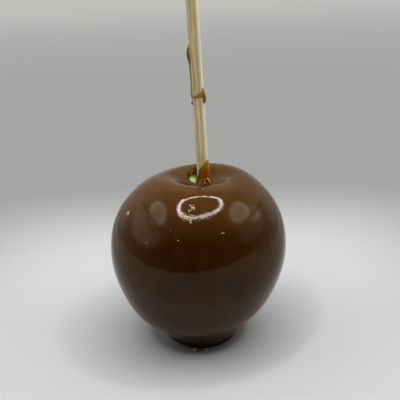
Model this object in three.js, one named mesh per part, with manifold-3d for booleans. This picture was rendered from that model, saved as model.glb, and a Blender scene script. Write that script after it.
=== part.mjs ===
// A caramel apple: a green apple in a smooth coat of caramel, on a square wooden stick.
// Millimetres, +Z up. The origin is the middle of the flat caramel foot that it stands on,
// and -Y is the front. The apple is a little uneven, and the stick leans left and back.

import * as THREE from 'three';
import { mergeVertices } from 'three/addons/utils/BufferGeometryUtils.js';
import Module from 'manifold-3d';

const wasm = await Module();
wasm.setup();

// Driving dimensions.
const COAT_RADIUS = 41;
const COAT_HEIGHT = 80.2;
const FOOT_RADIUS = 17;
const COAT_THICKNESS = 2.3;
const FOOT_THICKNESS = 3.4;
const GAP = 0.3;
const STICK_WIDTH = 4.9;
const STICK_LENGTH = 150;
const STICK_TOP = 168;

// Where the stick leaves the coat, how it leans, and how far it is turned about itself.
const STICK_FOOT = new THREE.Vector3(3.3, 0, 79.7);
const STICK_LEAN_LEFT = THREE.MathUtils.degToRad(1.65);
const STICK_LEAN_BACK = THREE.MathUtils.degToRad(6.5);
const STICK_TURN = THREE.MathUtils.degToRad(-9);
const STICK_CORNER = 0.8;
const STICK_END_BEVEL = 0.4;

// The dimple round the stick sits a little to the right of the middle.
const DIMPLE_SHIFT = 1.7;
const DIMPLE_REACH = 22;

// Swellings and hollows on the ball. Each is centred where a ray from the middle leaves the
// ball at that azimuth and elevation, in degrees, and spread is the width of the swelling.
const BALL_MIDDLE = 0.5 * COAT_HEIGHT;
const LOBES = [
  { azimuth: 205, elevation: -32, spread: 30, swell: 1.1 },
  { azimuth: -25, elevation: -32, spread: 30, swell: -0.9 },
  { azimuth: 262, elevation: -68, spread: 16, swell: 1.0 },
  { azimuth: -30, elevation: -64, spread: 18, swell: 0.7 },
  { azimuth: 218, elevation: -66, spread: 16, swell: -0.9 },
  { azimuth: 33, elevation: 60, spread: 22, swell: 0.8 },
  { azimuth: 13, elevation: 41, spread: 20, swell: 1.1 },
  { azimuth: 165, elevation: 44, spread: 20, swell: 0.6 },
  { azimuth: 145, elevation: 60, spread: 20, swell: -0.9 },
  { azimuth: -57, elevation: -36, spread: 18, swell: -0.3 },
  { azimuth: -123, elevation: -36, spread: 18, swell: 0.7 },
  { azimuth: 90, elevation: -36, spread: 22, swell: 0.8 },
  { azimuth: -90, elevation: 66, spread: 20, swell: 0.7 },
];
const LOBE_FADE_RADIUS = 12;
const LOBE_FADE_HEIGHT = 14;

// Outlines are control points [radius, height] of a smooth curve, from the axis at the
// bottom, up the side and down into the dimple.
function coatOutline() {
  const r = COAT_RADIUS;
  const h = COAT_HEIGHT;
  return [
    [0, 0],
    [0.5 * FOOT_RADIUS, 0],
    [0.9 * FOOT_RADIUS, 0],
    [FOOT_RADIUS, 0],
    [FOOT_RADIUS + 0.9, 1],
    [FOOT_RADIUS + 0.8, 2.6],
    [0.5 * r, 0.067 * h],
    [0.685 * r, 0.178 * h],
    [0.82 * r, 0.247 * h],
    [0.968 * r, 0.43 * h],
    [1.012 * r, 0.569 * h],
    [0.973 * r, 0.72 * h],
    [0.83 * r, 0.846 * h],
    [0.57 * r, 0.98 * h],
    [0.4 * r, 1.01 * h],
    [0.24 * r, 0.982 * h],
    [0.13 * r, 0.935 * h],
    [0, 0.925 * h],
  ];
}

// The apple is the coat's ball less the caramel, which is thinner in the dimple than below.
function appleOutline() {
  const r = COAT_RADIUS - COAT_THICKNESS;
  const h = COAT_HEIGHT - COAT_THICKNESS;
  return [
    [0, 1.6 * FOOT_THICKNESS],
    [0.2 * r, FOOT_THICKNESS],
    [0.36 * r, FOOT_THICKNESS],
    [0.5 * r, 0.115 * h],
    [0.68 * r, 0.21 * h],
    [0.84 * r, 0.285 * h],
    [0.975 * r, 0.45 * h],
    [1.013 * r, 0.585 * h],
    [0.97 * r, 0.73 * h],
    [0.83 * r, 0.857 * h],
    [0.585 * r, 0.985 * h],
    [0.41 * r, 1.02 * h],
    [0.25 * r, 0.986 * h],
    [0.13 * r, 0.935 * h],
    [0, 0.91 * h],
  ];
}

// A uniform cubic B-spline. Its end points are repeated, so that it starts and stops on them.
class SmoothOutline extends THREE.Curve {
  constructor(points) {
    super();
    const first = points[0];
    const last = points[points.length - 1];
    this.points = [first, first, ...points, last, last];
  }

  getPoint(t, target = new THREE.Vector2()) {
    const spans = this.points.length - 3;
    const span = Math.min(Math.floor(t * spans), spans - 1);
    const u = t * spans - span;
    const weights = [
      (1 - u) ** 3,
      3 * u ** 3 - 6 * u ** 2 + 4,
      -3 * u ** 3 + 3 * u ** 2 + 3 * u + 1,
      u ** 3,
    ];
    target.set(0, 0);
    weights.forEach((weight, i) => {
      const [radius, height] = this.points[span + i];
      target.x += weight * radius / 6;
      target.y += weight * height / 6;
    });
    return target;
  }
}

// The points of an outline moved outwards by a distance, with its ends kept on the axis.
function grownPoints(points, distance) {
  return points.map((point, i) => {
    const before = points[Math.max(i - 1, 0)];
    const after = points[Math.min(i + 1, points.length - 1)];
    const along = after.clone().sub(before).normalize();
    const moved = new THREE.Vector2(point.x + distance * along.y, point.y - distance * along.x);
    moved.x = i === 0 || i === points.length - 1 ? 0 : Math.max(moved.x, 0);
    return moved;
  });
}

function turned(points, segments) {
  return new THREE.LatheGeometry(points, segments).rotateX(Math.PI / 2);
}

function lobeDirection({ azimuth, elevation }) {
  const a = THREE.MathUtils.degToRad(azimuth);
  const e = THREE.MathUtils.degToRad(elevation);
  return new THREE.Vector3(Math.cos(a) * Math.cos(e), Math.sin(a) * Math.cos(e), Math.sin(e));
}

// Gives a turned ball its lobes and moves its dimple over. The foot stays flat.
function unevened(geometry) {
  const position = geometry.attributes.position;
  const point = new THREE.Vector3();
  const ray = new THREE.Vector3();
  for (let i = 0; i < position.count; i += 1) {
    point.fromBufferAttribute(position, i);
    const radius = Math.hypot(point.x, point.y);
    ray.set(point.x, point.y, point.z - BALL_MIDDLE).normalize();
    let swell = 0;
    for (const lobe of LOBES) {
      const apart = THREE.MathUtils.radToDeg(ray.angleTo(lobeDirection(lobe)));
      swell += lobe.swell * Math.exp(-((apart / lobe.spread) ** 2));
    }
    swell *= Math.min(radius / LOBE_FADE_RADIUS, 1);
    const lift = THREE.MathUtils.clamp(point.z / LOBE_FADE_HEIGHT, 0, 1);
    point.x += swell * ray.x;
    point.y += swell * ray.y;
    point.z += swell * ray.z * lift;
    if (ray.z > 0) {
      point.x += DIMPLE_SHIFT * THREE.MathUtils.clamp(1 - radius / DIMPLE_REACH, 0, 1);
    }
    position.setXYZ(i, point.x, point.y, point.z);
  }
  return geometry;
}

function toSolid(geometry) {
  const bare = geometry.index ? geometry.toNonIndexed() : geometry.clone();
  bare.deleteAttribute('normal');
  bare.deleteAttribute('uv');
  const merged = mergeVertices(bare, 1e-4);
  const index = merged.index.array;
  const triangles = [];
  for (let i = 0; i < index.length; i += 3) {
    const [a, b, c] = index.slice(i, i + 3);
    if (a !== b && b !== c && c !== a) triangles.push(a, b, c);
  }
  return new wasm.Manifold(new wasm.Mesh({
    numProp: 3,
    vertProperties: new Float32Array(merged.attributes.position.array),
    triVerts: new Uint32Array(triangles),
  }));
}

function toGeometry(solid) {
  const mesh = solid.getMesh();
  const geometry = new THREE.BufferGeometry();
  geometry.setAttribute('position', new THREE.BufferAttribute(mesh.vertProperties, 3));
  geometry.setIndex(new THREE.BufferAttribute(mesh.triVerts, 1));
  geometry.computeVertexNormals();
  return geometry;
}

// Takes a point given along the stick, from where it leaves the coat, to the part's frame.
const stickFrame = new THREE.Matrix4()
  .makeRotationFromEuler(new THREE.Euler(-STICK_LEAN_BACK, -STICK_LEAN_LEFT, STICK_TURN, 'XYZ'))
  .setPosition(STICK_FOOT);

// The stick's square section with round corners, grown by a clearance all round.
function stickSection(clearance) {
  const half = STICK_WIDTH / 2 + clearance;
  const corner = STICK_CORNER + clearance;
  const middle = half - corner;
  const shape = new THREE.Shape();
  shape.absarc(middle, middle, corner, 0, Math.PI / 2);
  shape.absarc(-middle, middle, corner, Math.PI / 2, Math.PI);
  shape.absarc(-middle, -middle, corner, Math.PI, 1.5 * Math.PI);
  shape.absarc(middle, -middle, corner, 1.5 * Math.PI, 2 * Math.PI);
  return shape;
}

function stickGeometry() {
  const above = STICK_TOP - STICK_FOOT.z;
  return new THREE.ExtrudeGeometry(stickSection(-STICK_END_BEVEL), {
    depth: STICK_LENGTH - 2 * STICK_END_BEVEL,
    bevelEnabled: true,
    bevelThickness: STICK_END_BEVEL,
    bevelSize: STICK_END_BEVEL,
    bevelSegments: 1,
    curveSegments: 3,
  })
    .translate(0, 0, above - STICK_LENGTH + STICK_END_BEVEL)
    .applyMatrix4(stickFrame);
}

// The space that the stick takes, with its clearance, from its lower end to above the coat.
function stickChannel(height) {
  const depth = STICK_LENGTH - (STICK_TOP - STICK_FOOT.z) + GAP;
  return toSolid(new THREE.ExtrudeGeometry(stickSection(GAP), {
    depth: depth + height,
    bevelEnabled: false,
    curveSegments: 3,
  }).translate(0, 0, -depth).applyMatrix4(stickFrame));
}

// Caramel drawn up the stick where it was turned out of the pan: highest at the right. It
// takes the stick's square shape as it rises.
const COLLAR = { base: -5.5, foot: 6.4, low: 0.14, top: 7.4, wall: 0.7, side: -20, square: 1.22 };

function collarSolid() {
  const inner = STICK_WIDTH / 2 + GAP;
  const outline = new SmoothOutline([
    [0, COLLAR.base - 4],
    [COLLAR.foot, COLLAR.base - 4],
    [COLLAR.foot, COLLAR.base],
    [inner + 1.4, COLLAR.base + 2.6],
    [inner + COLLAR.wall, 0],
    [inner + COLLAR.wall, COLLAR.top],
    [0, COLLAR.top],
  ]);
  const geometry = turned(outline.getPoints(16), 32);
  const position = geometry.attributes.position;
  const side = THREE.MathUtils.degToRad(COLLAR.side);
  for (let i = 0; i < position.count; i += 1) {
    const around = Math.atan2(position.getY(i), position.getX(i));
    const share = ((1 + Math.cos(around - side)) / 2) ** 2;
    const rise = position.getZ(i) - COLLAR.base;
    const kept = COLLAR.low + (1 - COLLAR.low) * share;
    if (rise > 0) position.setZ(i, COLLAR.base + rise * kept);
    const widest = Math.max(Math.abs(Math.cos(around)), Math.abs(Math.sin(around)));
    const square = Math.min(1 / widest, COLLAR.square);
    const stretch = 1 + (square - 1) * THREE.MathUtils.clamp(rise / -COLLAR.base, 0, 1);
    position.setX(i, position.getX(i) * stretch);
    position.setY(i, position.getY(i) * stretch);
  }
  return toSolid(geometry.applyMatrix4(stickFrame));
}

// The gap in the coat behind the stick and to its left, where the green skin shows.
const BARE_SPOT = { x: -4, y: 7.3, halfWidth: 3.3, halfLength: 5.9, depth: 14 };

function bareSpotCutter() {
  const shape = new THREE.Shape();
  shape.absellipse(0, 0, BARE_SPOT.halfWidth, BARE_SPOT.halfLength, 0, 2 * Math.PI);
  return toSolid(new THREE.ExtrudeGeometry(shape, {
    depth: BARE_SPOT.depth,
    bevelEnabled: false,
    curveSegments: 10,
  }).translate(
    STICK_FOOT.x + BARE_SPOT.x,
    STICK_FOOT.y + BARE_SPOT.y,
    STICK_FOOT.z - BARE_SPOT.depth / 2,
  ));
}

const APPLE_STEPS = 26;
const APPLE_SEGMENTS = 36;
const COAT_STEPS = 36;
const COAT_SEGMENTS = 54;

function applePoints() {
  return new SmoothOutline(appleOutline()).getPoints(APPLE_STEPS);
}

function appleSolid() {
  return toSolid(unevened(turned(applePoints(), APPLE_SEGMENTS))).subtract(stickChannel(0));
}

function coatSolid() {
  const points = new SmoothOutline(coatOutline()).getPoints(COAT_STEPS);
  const ball = toSolid(unevened(turned(points, COAT_SEGMENTS)));
  const inside = toSolid(unevened(turned(grownPoints(applePoints(), GAP), APPLE_SEGMENTS)));
  return ball
    .add(collarSolid())
    .subtract(inside)
    .subtract(stickChannel(COLLAR.top + 1))
    .subtract(bareSpotCutter());
}

// A spindle of set caramel that hangs along one edge of the stick, over a thinner tail.
function spindle({ x, y, from, to, thick, fullest, tail }) {
  const length = to - from;
  const outline = new SmoothOutline([
    [0, 0],
    [tail * thick, 0],
    [tail * thick, 0.4 * fullest * length],
    [1.1 * tail * thick, 0.75 * fullest * length],
    [1.3 * thick, fullest * length],
    [0.5 * thick, (fullest + 0.4 * (1 - fullest)) * length],
    [0.2 * thick, length],
    [0, length],
  ]);
  return toSolid(turned(outline.getPoints(16), 10).translate(x, y, from).applyMatrix4(stickFrame));
}

// A thin ridge of caramel across the stick's front face.
function band({ height, thick, tall }) {
  const half = STICK_WIDTH / 2;
  const shape = new THREE.Shape();
  shape.absellipse(0, 0, thick, tall / 2, 0, 2 * Math.PI);
  return toSolid(new THREE.ExtrudeGeometry(shape, {
    depth: STICK_WIDTH,
    bevelEnabled: false,
    curveSegments: 6,
  })
    .rotateZ(Math.PI / 2)
    .rotateY(Math.PI / 2)
    .translate(-half + 0.2, -half - 0.1, height)
    .applyMatrix4(stickFrame));
}

const HALF_STICK = STICK_WIDTH / 2;
const LONG_DRIP = {
  x: -HALF_STICK + 0.15,
  y: -HALF_STICK + 0.4,
  from: 36.1,
  to: 58.8,
  thick: 1.05,
  fullest: 0.83,
  tail: 0.6,
};
const SMALL_DROP = {
  x: -HALF_STICK + 0.1,
  y: -HALF_STICK + 0.4,
  from: 33,
  to: 35.3,
  thick: 0.75,
  fullest: 0.55,
  tail: 0.8,
};
const SIDE_DRIP = {
  x: HALF_STICK + 0.1,
  y: -HALF_STICK + 0.8,
  from: 33.4,
  to: 40.4,
  thick: 1.3,
  fullest: 0.5,
  tail: 0.8,
};
const SIDE_BAND = { height: 36.6, thick: 0.75, tall: 1.3 };

// Drips hug the stick, so the stick's space is cut out of them.
function dripSolid(solid) {
  return solid.subtract(stickChannel(STICK_TOP - STICK_FOOT.z));
}

function material(color, roughness) {
  return new THREE.MeshStandardMaterial({ color, roughness, metalness: 0 });
}

function named(name, geometry, finish) {
  const mesh = new THREE.Mesh(geometry, finish);
  mesh.name = name;
  return mesh;
}

const caramel = material('#5a2e0e', 0.12);
const thinCaramel = material('#8a4a12', 0.2);
const greenSkin = material('#7fae3a', 0.35);
const paleWood = material('#b7a077', 0.7);

const caramelApple = new THREE.Group();
caramelApple.add(named('apple', toGeometry(appleSolid()), greenSkin));
caramelApple.add(named('caramel_coat', toGeometry(coatSolid()), caramel));
caramelApple.add(named('stick', stickGeometry(), paleWood));
caramelApple.add(named('stick_drip_long', toGeometry(dripSolid(spindle(LONG_DRIP))), thinCaramel));
caramelApple.add(named('stick_drop_small', toGeometry(dripSolid(spindle(SMALL_DROP))), thinCaramel));
const sideDrip = spindle(SIDE_DRIP).add(band(SIDE_BAND));
caramelApple.add(named('stick_drip_side', toGeometry(dripSolid(sideDrip)), thinCaramel));

export default caramelApple;
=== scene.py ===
# A caramel apple: a green apple in a glossy coat of caramel, on a square wooden stick.
# Pieces are shaped in millimetres and finished in metres, in the frame of the part's solids:
# x to the right, y to the back, and z up from the flat foot.
import math
import random

import bmesh
import bpy
from mathutils import Euler, Matrix, Vector, noise


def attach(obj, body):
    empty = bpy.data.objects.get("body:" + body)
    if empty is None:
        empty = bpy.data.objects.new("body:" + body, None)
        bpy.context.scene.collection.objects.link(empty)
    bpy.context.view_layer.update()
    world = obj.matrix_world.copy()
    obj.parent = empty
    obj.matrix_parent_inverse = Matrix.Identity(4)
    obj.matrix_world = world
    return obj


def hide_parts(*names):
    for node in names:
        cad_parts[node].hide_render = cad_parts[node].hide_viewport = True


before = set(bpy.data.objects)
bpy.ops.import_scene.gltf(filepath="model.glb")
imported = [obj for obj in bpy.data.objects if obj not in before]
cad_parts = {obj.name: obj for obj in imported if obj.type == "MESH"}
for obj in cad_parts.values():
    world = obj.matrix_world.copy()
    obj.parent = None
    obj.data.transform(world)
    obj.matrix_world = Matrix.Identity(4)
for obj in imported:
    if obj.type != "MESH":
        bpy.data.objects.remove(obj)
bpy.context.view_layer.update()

MM = 0.001

# The ball of caramel, and the apple in it.
COAT_RADIUS = 41.0
COAT_HEIGHT = 80.2
COAT_THICKNESS = 2.3
FOOT_RADIUS = 17.0
FOOT_THICKNESS = 3.4
BALL_MIDDLE = 0.5 * COAT_HEIGHT
# The inside of the coat stands this far off the skin.
SKIN_GAP = 0.05

# The dimple is moved to the right: fully at its middle, and not at all at this radius.
DIMPLE_SHIFT = 3.0
DIMPLE_REACH = 32.0

# Swellings and hollows of the ball: azimuth and elevation in degrees from its middle, the
# spread in degrees, and the swelling in millimetres.
LOBES = (
    (205, -32, 30, 1.1),
    (-25, -32, 30, -0.6),
    (262, -68, 16, 1.0),
    (-30, -64, 18, 0.7),
    (218, -66, 16, -0.9),
    (33, 60, 22, 0.8),
    (13, 41, 20, 1.1),
    (165, 44, 20, 0.6),
    (145, 60, 20, -0.9),
    (-57, -36, 18, -0.3),
    (-123, -36, 18, 0.7),
    (90, -36, 22, 0.8),
    (-90, 66, 20, 0.7),
    (-20, 68, 18, -0.8),
    (-150, 68, 20, 0.9),
)
# They fade out towards the axis, and they leave the foot flat.
LOBE_FADE_RADIUS = 12.0
LOBE_FADE_HEIGHT = 14.0

# The stick, its lean and its turn about itself. Its foot is where it leaves the dimple.
STICK_WIDTH = 4.9
STICK_LENGTH = 150.0
STICK_TOP = 168.0
STICK_FOOT = Vector((3.3, 0.0, 79.7))
STICK_LEAN_LEFT = math.radians(1.65)
STICK_LEAN_BACK = math.radians(6.5)
STICK_TURN = math.radians(-9.0)
STICK_CORNER = 0.8
HALF_STICK = STICK_WIDTH / 2
STICK_FRAME = (
    Matrix.Translation(STICK_FOOT)
    @ Euler((-STICK_LEAN_BACK, 0, 0)).to_matrix().to_4x4()
    @ Euler((0, -STICK_LEAN_LEFT, 0)).to_matrix().to_4x4()
    @ Euler((0, 0, STICK_TURN)).to_matrix().to_4x4()
)

# The gap in the coat where the green skin shows. It is rounder behind than in front.
BARE_SPOT = Vector((-0.1, 8.6))
BARE_HALF_WIDTH = 3.7
BARE_HALF_LENGTH = 4.75
BARE_POWER_BEHIND = 1.8
BARE_POWER_IN_FRONT = 2.6
# Its wall slopes in, so it is narrower at the skin, and further to the right.
SLOPE_IN = 0.45
SLOPE_RIGHT = 0.5

# The stick's hole and the gap make one opening of the coat. It is described from the corner of
# the stick where they meet.
OPENING_MIDDLE = Vector((1.45, 2.8))
HOLE_MIDDLE = Vector((STICK_FOOT.x + 0.05, STICK_FOOT.y + 0.25))
# The edge of the coat lies this far inside the stick's faces.
HOLE_SNUG = 0.3

# Places where light is painted: a lightened patch of the coat in the dimple, a lightened far rim of the gap,
# and the middle of a painted highlight on the skin, with painted shade round it.
DIMPLE_PAINTED_LIGHT = Vector((8.0, 1.0, 76.5))
RIM_PAINTED_LIGHT = Vector((-1.2, 11.8, 77.4))
SKIN_PAINTED_HIGHLIGHT = Vector((-1.9, 7.8, 75.8))


# ---------------------------------------------------------------- shapes of the two balls

# The last control points of each outline make the dimple, the first of them its widest ring.
DIMPLE_POINTS = 4


def coat_outline():
    """Control points (radius, height) of the coat, from the axis below to the axis above."""
    r, h, foot = COAT_RADIUS, COAT_HEIGHT, FOOT_RADIUS
    return [
        (0, 0), (0.5 * foot, 0), (0.9 * foot, 0), (foot, 0), (foot + 0.9, 1), (foot + 0.8, 2.6),
        (0.5 * r, 0.067 * h), (0.685 * r, 0.178 * h), (0.82 * r, 0.247 * h), (0.968 * r, 0.43 * h),
        (1.012 * r, 0.569 * h), (0.975 * r, 0.722 * h), (0.84 * r, 0.85 * h), (0.575 * r, 0.989 * h),
        (0.4 * r, 1.018 * h), (0.24 * r, 0.986 * h), (0.13 * r, 0.935 * h), (0, 0.925 * h),
    ]


def apple_outline():
    """Control points of the apple, in the same order."""
    r, h = COAT_RADIUS - COAT_THICKNESS, COAT_HEIGHT - COAT_THICKNESS
    return [
        (0, 1.6 * FOOT_THICKNESS), (0.2 * r, FOOT_THICKNESS), (0.36 * r, FOOT_THICKNESS),
        (0.5 * r, 0.115 * h), (0.68 * r, 0.21 * h), (0.84 * r, 0.285 * h), (0.975 * r, 0.45 * h),
        (1.013 * r, 0.585 * h), (0.97 * r, 0.73 * h), (0.83 * r, 0.857 * h), (0.585 * r, 0.985 * h),
        (0.41 * r, 1.02 * h), (0.25 * r, 0.986 * h), (0.13 * r, 0.935 * h), (0, 0.91 * h),
    ]


def spline_points(outline, steps=400):
    """Points on the uniform cubic B-spline of an outline."""
    points = [outline[0], outline[0], *outline, outline[-1], outline[-1]]
    spans = len(points) - 3
    found = []
    for step in range(steps + 1):
        place = min(step * spans / steps, spans - 1e-9)
        span = int(place)
        u = place - span
        weights = (
            (1 - u) ** 3,
            3 * u ** 3 - 6 * u ** 2 + 4,
            -3 * u ** 3 + 3 * u ** 2 + 3 * u + 1,
            u ** 3,
        )
        near = points[span:span + 4]
        found.append(tuple(sum(w * p[axis] for w, p in zip(weights, near)) / 6 for axis in (0, 1)))
    return found


# The crown is what lies higher than this share of the dimple's height.
CROWN_FROM = 0.75


def crown_height(outline):
    """A function that gives the height of a ball's crown and dimple at a radius."""
    lowest = CROWN_FROM * outline[-1][1]
    crown = sorted(p for p in spline_points(outline) if p[1] > lowest)

    def height(radius):
        for (r0, z0), (r1, z1) in zip(crown, crown[1:]):
            if r0 <= radius <= r1:
                return z0 + (z1 - z0) * (radius - r0) / max(r1 - r0, 1e-9)
        return crown[0][1] if radius < crown[0][0] else crown[-1][1]

    return height


def clamp(value, low=0.0, high=1.0):
    return min(max(value, low), high)


def around(angle):
    """The flat direction at an angle from the right."""
    return Vector((math.cos(angle), math.sin(angle)))


def direction(azimuth, elevation):
    """The direction at an azimuth from the right and an elevation, in degrees."""
    a, e = math.radians(azimuth), math.radians(elevation)
    return Vector((math.cos(a) * math.cos(e), math.sin(a) * math.cos(e), math.sin(e)))


def dimple_shift(radius):
    return DIMPLE_SHIFT * clamp(1 - radius / DIMPLE_REACH)


def lobed(point):
    """Gives a point of a turned ball the lobes, and moves the dimple over."""
    radius = math.hypot(point.x, point.y)
    ray = (point - Vector((0, 0, BALL_MIDDLE))).normalized()
    swell = 0.0
    for azimuth, elevation, spread, height in LOBES:
        apart = math.degrees(ray.angle(direction(azimuth, elevation), 0.0))
        swell += height * math.exp(-((apart / spread) ** 2))
    swell *= min(radius / LOBE_FADE_RADIUS, 1)
    lift = clamp(point.z / LOBE_FADE_HEIGHT)
    moved = point + swell * Vector((ray.x, ray.y, ray.z * lift))
    if ray.z > 0:
        moved.x += dimple_shift(radius)
    return moved


def square_reach(angle, half):
    """How far a square with round corners reaches at an angle."""
    roundness = 7
    spread = abs(math.cos(angle)) ** roundness + abs(math.sin(angle)) ** roundness
    return half / spread ** (1 / roundness)


def in_bare_spot(place, inside):
    """Whether a place is in the gap, at the coat's surface (0) or inside at the skin (1)."""
    half_width = BARE_HALF_WIDTH - inside * SLOPE_IN
    half_length = BARE_HALF_LENGTH - inside * SLOPE_IN / 2
    across = abs(place.x - BARE_SPOT.x - inside * SLOPE_RIGHT) / half_width
    deep = (place.y - BARE_SPOT.y) / half_length
    power = BARE_POWER_BEHIND if deep > 0 else BARE_POWER_IN_FRONT
    return across ** power + abs(deep) ** power < 1


# The end of the gap along a line is found in strides, and then by halving the last of them.
STRIDE = 0.25
STRIDES = 60
HALVINGS = 12


def spot_reach(step, inside):
    """How far from the opening's middle the gap ends along a step, or nothing if it is missed."""
    near = 0.0
    for number in range(STRIDES):
        if in_bare_spot(OPENING_MIDDLE + number * STRIDE * step, inside):
            near = number * STRIDE
    if not near:
        return 0.0
    far = near + STRIDE
    for _ in range(HALVINGS):
        middle = (near + far) / 2
        if in_bare_spot(OPENING_MIDDLE + middle * step, inside):
            near = middle
        else:
            far = middle
    return near


def hole_reach(step):
    """How far from the opening's middle the stick's hole ends along a step, or nothing."""
    turned = Matrix.Rotation(-STICK_TURN, 2)
    half = HALF_STICK - HOLE_SNUG
    enters, leaves = 0.0, math.inf
    for here, pace in zip(turned @ (OPENING_MIDDLE - HOLE_MIDDLE), turned @ step):
        near, far = sorted(((-half - here) / pace, (half - here) / pace))
        enters, leaves = max(enters, near), min(leaves, far)
    return leaves if leaves > enters else 0.0


def opening_edge(angle, inside):
    """The edge of the coat's opening, at an angle from the opening's middle."""
    step = around(angle)
    return OPENING_MIDDLE + max(hole_reach(step), spot_reach(step, inside)) * step


# ---------------------------------------------------------------- making pieces

def finish_piece(name, bm, material, replaced=(), levels=0):
    """Turns a bmesh in millimetres into a finished piece in metres that rides on the part."""
    bmesh.ops.scale(bm, vec=Vector((MM, MM, MM)), verts=bm.verts)
    for face in bm.faces:
        face.smooth = True
    mesh = bpy.data.meshes.new(name)
    bm.to_mesh(mesh)
    bm.free()
    piece = bpy.data.objects.new(name, mesh)
    bpy.context.scene.collection.objects.link(piece)
    mesh.materials.append(material)
    if levels:
        smooth = piece.modifiers.new("smooth", "SUBSURF")
        smooth.levels = levels
        smooth.render_levels = levels
    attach(piece, "root")
    if replaced:
        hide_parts(*replaced)
    return piece


def turned_rows(profile, segments, closed=False):
    """A profile of (radius, height) turned about the axis. Each vertex keeps its row's number."""
    bm = bmesh.new()
    row = bm.verts.layers.int.new("row")
    line = []
    for number, (radius, height) in enumerate(profile):
        vert = bm.verts.new((radius, 0, height))
        vert[row] = number
        line.append(vert)
    edges = [bm.edges.new(pair) for pair in zip(line, line[1:])]
    if closed:
        edges.append(bm.edges.new((line[-1], line[0])))
    bmesh.ops.spin(
        bm, geom=line + edges, cent=(0, 0, 0), axis=(0, 0, 1), dvec=(0, 0, 0),
        angle=2 * math.pi, steps=segments, use_merge=True, use_normal_flip=False, use_duplicate=False,
    )
    bmesh.ops.remove_doubles(bm, verts=bm.verts, dist=1e-5)
    bmesh.ops.recalc_face_normals(bm, faces=bm.faces)
    # The edges and faces come in an order that changes, so they are put in a fixed one.
    bm.verts.index_update()
    for parts in (bm.edges, bm.faces):
        for index, part in enumerate(sorted(parts, key=lambda each: sorted(v.index for v in each.verts))):
            part.index = index
        parts.sort()
    return bm, row


BALL_SEGMENTS = 48
# A smoothed ring of control points ends up a little inside them.
RING_SHRINK = (2 + math.cos(2 * math.pi / BALL_SEGMENTS)) / 3
# Rows of the crown lie between the widest ring of the dimple and the edge of the opening.
CROWN_SHARES = (0.0, 0.28, 0.52, 0.72, 0.86, 0.95, 1.0)


def crown_point(angle, share, outline, height, inside):
    """A point of a ball's crown, a share of the way from its ring to the opening."""
    edge = opening_edge(angle, inside)
    edge.x -= dimple_shift(edge.length)
    ring_radius = outline[-DIMPLE_POINTS][0]
    place = (ring_radius * around(angle)).lerp(edge, share)
    return Vector((place.x, place.y, height(place.length)))


def ring_point(angle, radius, height):
    """A control point of a ring that has this radius once it is smoothed."""
    place = radius * around(angle) / RING_SHRINK
    return Vector((place.x, place.y, height))


def coat():
    outer, inner = coat_outline(), apple_outline()
    outer_height, inner_height = crown_height(outer), crown_height(inner)
    rows = [("outer", point) for point in outer[:-DIMPLE_POINTS]]
    rows += [("outer crown", share) for share in CROWN_SHARES]
    rows += [("inner crown", share) for share in reversed(CROWN_SHARES)]
    rows += [("inner", point) for point in reversed(inner[:-DIMPLE_POINTS])]
    # The profile only tells the rows apart; where they go is worked out below.
    last = len(rows) - 1
    bm, row = turned_rows([(0 if i in (0, last) else 10, i) for i in range(last + 1)], BALL_SEGMENTS)
    for vert in bm.verts:
        kind, which = rows[vert[row]]
        angle = math.atan2(vert.co.y, vert.co.x)
        if kind == "outer":
            place = ring_point(angle, *which)
        elif kind == "inner":
            radius, height = which
            lift = SKIN_GAP if height > BALL_MIDDLE else -SKIN_GAP
            place = ring_point(angle, radius + SKIN_GAP if radius else 0, height + lift)
        elif kind == "outer crown":
            place = crown_point(angle, which, outer, outer_height, 0)
        else:
            place = crown_point(angle, which, inner, inner_height, 1) + Vector((0, 0, SKIN_GAP))
        vert.co = lobed(place)
    bmesh.ops.recalc_face_normals(bm, faces=bm.faces)
    return finish_piece("caramel_coat_smooth", bm, caramel, ("caramel_coat",), levels=2)


def apple():
    bm, _ = turned_rows(apple_outline(), BALL_SEGMENTS)
    for vert in bm.verts:
        x, y, z = vert.co
        vert.co = lobed(Vector((x / RING_SHRINK, y / RING_SHRINK, z)))
    finish_piece("green_apple", bm, green_skin, ("apple",), levels=2)


# ---------------------------------------------------------------- the stick and what is on it

STICK_SIDE_CUTS = 11
STICK_LENGTH_CUTS = 59
# Fibres run up the stick as shallow grooves that wander a little: how fine they are across and
# along, where their noise starts, and how deep they are.
GROOVES = (
    (1.9, 0.022, (7.3, 1.1, 4.2), 0.075),
    (4.3, 0.05, (2.1, 9.4, 0.6), 0.035),
)
GROOVE_LEVEL = -0.02
# The sawn ends are rough: how fine, and how deep.
SAW_FINENESS = 2.3
SAW_DEPTH = 0.22


def rounded(x, y):
    """Moves a place on the stick's square to the same square with round corners."""
    flat = HALF_STICK - STICK_CORNER
    over = Vector((max(abs(x) - flat, 0), max(abs(y) - flat, 0)))
    if over.x > 0 and over.y > 0:
        over = over.normalized() * max(over)
    within = Vector((min(abs(x), flat), min(abs(y), flat)))
    return Vector((math.copysign(within.x + over.x, x), math.copysign(within.y + over.y, y)))


def upright_edges(bm):
    """The edges whose ends differ by more than a millimetre in height."""
    return [e for e in bm.edges if abs(e.verts[0].co.z - e.verts[1].co.z) > 1]


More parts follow.
